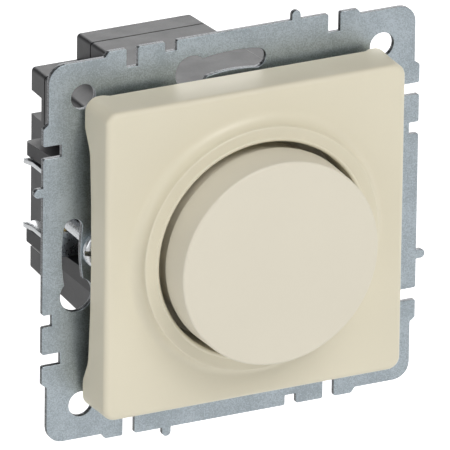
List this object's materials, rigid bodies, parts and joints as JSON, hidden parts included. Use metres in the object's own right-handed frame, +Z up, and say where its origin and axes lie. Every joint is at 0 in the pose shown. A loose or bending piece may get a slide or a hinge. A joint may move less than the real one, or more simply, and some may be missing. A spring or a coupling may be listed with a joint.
{
  "type": "flush-mounted rotary dimmer",
  "caption": "Square flush-mounted rotary push dimmer: galvanised support plate, cream cover with raised collar, round knob, black rear housing and side spreading claws.",
  "frame": {"origin": "centre of the support plate's rear face, on the knob's axis", "axes": "+X to the right, +Y into the wall, +Z up, seen by the user who faces the knob"},
  "size_m": [0.0738, 0.0559, 0.0738],
  "materials": {
    "galvanised_sheet": "galvanised, fine spangle",
    "cover_plastic": "moulded, satin gloss",
    "knob_plastic": "moulded, satin gloss",
    "black_plastic": "moulded, fine matte",
    "claw_sheet": "zinc-plated sheet",
    "zinc_screws": "zinc-plated",
    "spring_steel": "bright spring wire",
    "shaft_steel": "ground",
    "blackened_steel": "phosphated",
    "brass": "machined",
    "contact_copper": "rolled strip",
    "tinned_pins": "tinned",
    "pot_plastic": "moulded",
    "natural_plastic": "moulded",
    "red_plastic": "moulded",
    "phenolic_board": "punched laminate",
    "carbon_film": "printed",
    "circuit_laminate": "lacquered laminate",
    "moulded_epoxy": "moulded",
    "thermal_pad": "soft sheet",
    "iron_powder": "lacquered core",
    "enamelled_copper": "enamelled wire",
    "yellow_film_case": "moulded case",
    "red_film_case": "dipped case",
    "resistor_lacquer": "lacquered",
    "blue_plastic": "moulded",
    "white_plastic": "moulded",
    "fuse_glass": "clear"
  },
  "bodies": {
    "root": {"support_plate": "galvanised_sheet", "cover": "cover_plastic", "bush": "brass", "bush_washer": "zinc_screws", "bush_nut": "brass", "pot_case": "pot_plastic", "track_board": "phenolic_board", "resistive_track": "carbon_film", "collector_ring": "tinned_pins", "pot_pins": "tinned_pins", "switch_case": "pot_plastic", "fixed_contacts": "brass", "return_spring": "spring_steel", "circuit_board": "circuit_laminate", "board_screws": "zinc_screws", "triac": "moulded_epoxy", "triac_pad": "thermal_pad", "triac_screw": "zinc_screws", "triac_nut": "zinc_screws", "choke_core": "iron_powder", "choke_winding": "enamelled_copper", "interference_capacitor": "yellow_film_case", "timing_capacitor": "red_film_case", "resistors": "resistor_lacquer", "trimmer": "blue_plastic", "fuse_tube": "fuse_glass", "fuse_caps": "tinned_pins", "fuse_clips": "brass", "terminal_tongues": "brass", "housing_body": "black_plastic", "rear_lid": "black_plastic", "housing_screws": "zinc_screws"},
    "rotor": {"pot_rotor": "natural_plastic", "wiper": "brass"},
    "knob": {"knob": "knob_plastic", "knob_ring": "spring_steel", "shaft": "shaft_steel", "shaft_circlip": "blackened_steel"},
    "switch_slider": {"switch_slider": "red_plastic", "contact_bridge": "contact_copper"},
    "trimmer_rotor": {"trimmer_rotor": "white_plastic"},
    "left_claw_screw": {"left_claw_screw": "zinc_screws"},
    "left_claw_nut": {"left_claw_nut": "brass"},
    "left_claw": {"left_claw": "claw_sheet"},
    "right_claw_screw": {"right_claw_screw": "zinc_screws"},
    "right_claw_nut": {"right_claw_nut": "brass"},
    "right_claw": {"right_claw": "claw_sheet"},
    "terminal_screw_1": {"terminal_screw_1": "zinc_screws"},
    "terminal_cage_1": {"terminal_cage_1": "brass"},
    "terminal_screw_2": {"terminal_screw_2": "zinc_screws"},
    "terminal_cage_2": {"terminal_cage_2": "brass"},
    "terminal_screw_3": {"terminal_screw_3": "zinc_screws"},
    "terminal_cage_3": {"terminal_cage_3": "brass"}
  },
  "joints": [
    {"name": "knob_turn", "type": "hinge", "parent": "root", "child": "rotor", "pos_m": [0, 0, 0], "axis": [0, 1, 0], "range_deg": [-135, 135]},
    {"name": "knob_push", "type": "slide", "parent": "rotor", "child": "knob", "axis": [0, 1, 0], "range_m": [0, 0.0015], "stiffness_N_per_m": 1500, "springref_m": -0.002},
    {"name": "switch_travel", "type": "slide", "parent": "root", "child": "switch_slider", "axis": [0, 1, 0], "range_m": [0, 0.0015], "deforming": ["return_spring"]},
    {"name": "trimmer_turn", "type": "hinge", "parent": "root", "child": "trimmer_rotor", "pos_m": [0.0083, 0.025, -0.0135], "axis": [0, -1, 0], "range_deg": [-120, 120]},
    {"name": "left_claw_screw_turn", "type": "hinge", "parent": "root", "child": "left_claw_screw", "pos_m": [-0.0243, 0, 0], "axis": [0, 1, 0], "range_deg": [0, 3600]},
    {"name": "left_claw_draw", "type": "slide", "parent": "root", "child": "left_claw_nut", "axis": [0, -1, 0], "range_m": [0, 0.005]},
    {"name": "left_claw_swing", "type": "hinge", "parent": "left_claw_nut", "child": "left_claw", "pos_m": [-0.0243, 0.01455, 0], "axis": [0, 0, 1], "range_deg": [0, 18]},
    {"name": "right_claw_screw_turn", "type": "hinge", "parent": "root", "child": "right_claw_screw", "pos_m": [0.0243, 0, 0], "axis": [0, 1, 0], "range_deg": [0, 3600]},
    {"name": "right_claw_draw", "type": "slide", "parent": "root", "child": "right_claw_nut", "axis": [0, -1, 0], "range_m": [0, 0.005]},
    {"name": "right_claw_swing", "type": "hinge", "parent": "right_claw_nut", "child": "right_claw", "pos_m": [0.0243, 0.01455, 0], "axis": [0, 0, -1], "range_deg": [0, 18]},
    {"name": "terminal_screw_1_turn", "type": "hinge", "parent": "root", "child": "terminal_screw_1", "pos_m": [-0.015, 0.025, 0.0118], "axis": [1, 0, 0], "range_deg": [0, 1440]},
    {"name": "terminal_cage_1_lift", "type": "slide", "parent": "root", "child": "terminal_cage_1", "axis": [-1, 0, 0], "range_m": [0, 0.002]},
    {"name": "terminal_screw_2_turn", "type": "hinge", "parent": "root", "child": "terminal_screw_2", "pos_m": [-0.015, 0.025, -0.0118], "axis": [1, 0, 0], "range_deg": [0, 1440]},
    {"name": "terminal_cage_2_lift", "type": "slide", "parent": "root", "child": "terminal_cage_2", "axis": [-1, 0, 0], "range_m": [0, 0.002]},
    {"name": "terminal_screw_3_turn", "type": "hinge", "parent": "root", "child": "terminal_screw_3", "pos_m": [0.015, 0.025, 0.0118], "axis": [-1, 0, 0], "range_deg": [0, 1440]},
    {"name": "terminal_cage_3_lift", "type": "slide", "parent": "root", "child": "terminal_cage_3", "axis": [1, 0, 0], "range_m": [0, 0.002]}
  ],
  "couplings": [
    {"joint": "switch_travel", "follows": "knob_push", "ratio": 1},
    {"joint": "left_claw_screw_turn", "follows": "left_claw_draw", "rad_per_m": 12566},
    {"joint": "left_claw_swing", "follows": "left_claw_draw", "rad_per_m": 62.83},
    {"joint": "right_claw_screw_turn", "follows": "right_claw_draw", "rad_per_m": 12566},
    {"joint": "right_claw_swing", "follows": "right_claw_draw", "rad_per_m": 62.83},
    {"joint": "terminal_screw_1_turn", "follows": "terminal_cage_1_lift", "rad_per_m": 12566},
    {"joint": "terminal_screw_2_turn", "follows": "terminal_cage_2_lift", "rad_per_m": 12566},
    {"joint": "terminal_screw_3_turn", "follows": "terminal_cage_3_lift", "rad_per_m": 12566}
  ]
}
